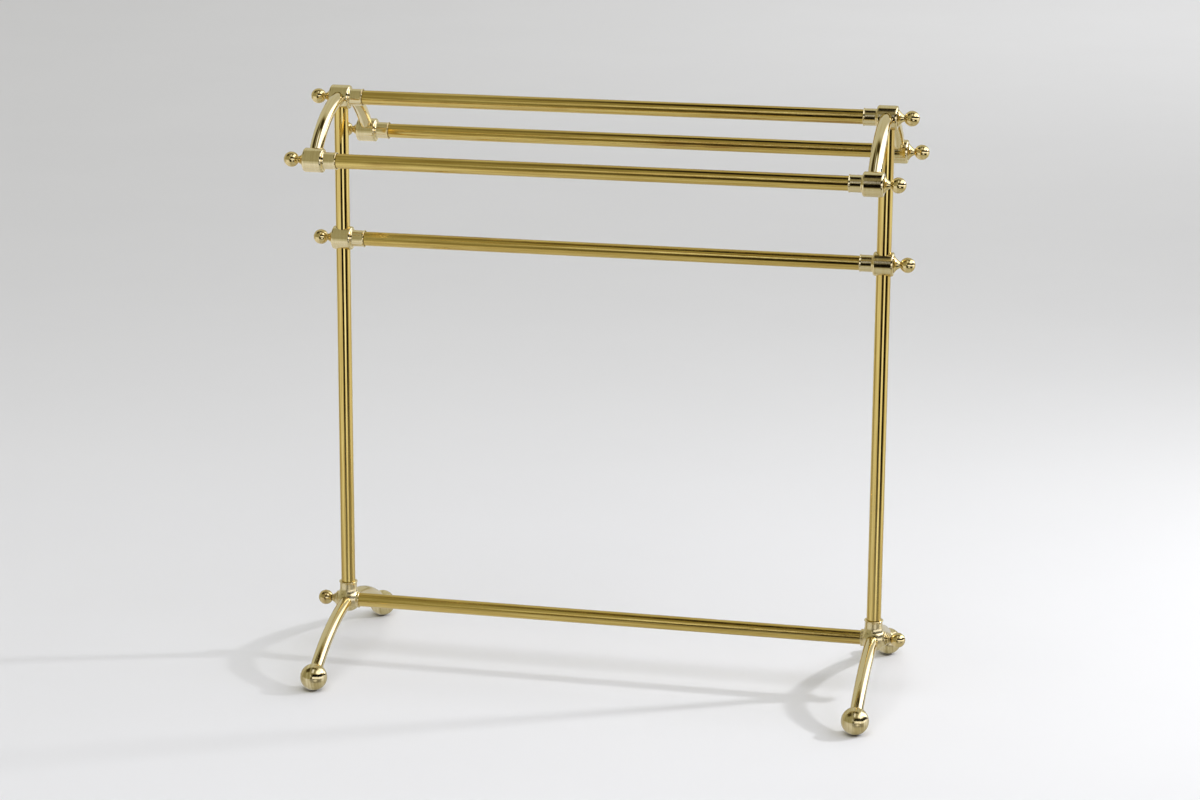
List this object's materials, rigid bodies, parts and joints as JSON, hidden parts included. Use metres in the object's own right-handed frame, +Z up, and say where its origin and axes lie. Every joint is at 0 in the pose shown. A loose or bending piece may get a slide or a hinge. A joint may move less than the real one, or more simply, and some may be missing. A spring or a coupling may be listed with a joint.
{
  "type": "freestanding towel stand",
  "caption": "Freestanding towel stand in satin brass: two side frames with an arched top, splayed legs on ball feet and ball finials, joined by level towel bars and a low stretcher.",
  "frame": {"origin": "on the floor, midway between the four feet", "axes": "+X along the bars to the right-hand side frame, +Y from front to back, +Z up"},
  "size_m": [0.81, 0.364, 0.7877],
  "materials": {
    "brass_tube": "satin, brushed along the tube",
    "brass_rod": "satin, brushed along the bent rod",
    "brass_fitting": "satin, fine turning marks",
    "steel": "plain zinc-plated",
    "pad": "matt"
  },
  "bodies": {
    "root": {"back_bar": "brass_tube", "bar_end_plugs": "brass_fitting", "front_bar": "brass_tube", "left_back_arm": "brass_rod", "left_back_ferrule": "brass_fitting", "left_back_finial": "brass_fitting", "left_back_foot": "brass_fitting", "left_back_foot_pad": "pad", "left_back_hub": "brass_fitting", "left_back_leg": "brass_rod", "left_base_finial": "brass_fitting", "left_base_hub": "brass_fitting", "left_front_arm": "brass_rod", "left_front_ferrule": "brass_fitting", "left_front_finial": "brass_fitting", "left_front_foot": "brass_fitting", "left_front_foot_pad": "pad", "left_front_hub": "brass_fitting", "left_front_leg": "brass_rod", "left_middle_ferrule": "brass_fitting", "left_middle_finial": "brass_fitting", "left_middle_hub": "brass_fitting", "left_post": "brass_tube", "left_top_ferrule": "brass_fitting", "left_top_finial": "brass_fitting", "left_top_hub": "brass_fitting", "middle_bar": "brass_tube", "right_back_arm": "brass_rod", "right_back_ferrule": "brass_fitting", "right_back_finial": "brass_fitting", "right_back_foot": "brass_fitting", "right_back_foot_pad": "pad", "right_back_hub": "brass_fitting", "right_back_leg": "brass_rod", "right_base_finial": "brass_fitting", "right_base_hub": "brass_fitting", "right_front_arm": "brass_rod", "right_front_ferrule": "brass_fitting", "right_front_finial": "brass_fitting", "right_front_foot": "brass_fitting", "right_front_foot_pad": "pad", "right_front_hub": "brass_fitting", "right_front_leg": "brass_rod", "right_middle_ferrule": "brass_fitting", "right_middle_finial": "brass_fitting", "right_middle_hub": "brass_fitting", "right_post": "brass_tube", "right_top_ferrule": "brass_fitting", "right_top_finial": "brass_fitting", "right_top_hub": "brass_fitting", "stretcher_bar": "brass_tube", "tie_studs": "steel", "top_bar": "brass_tube"}
  },
  "joints": []
}
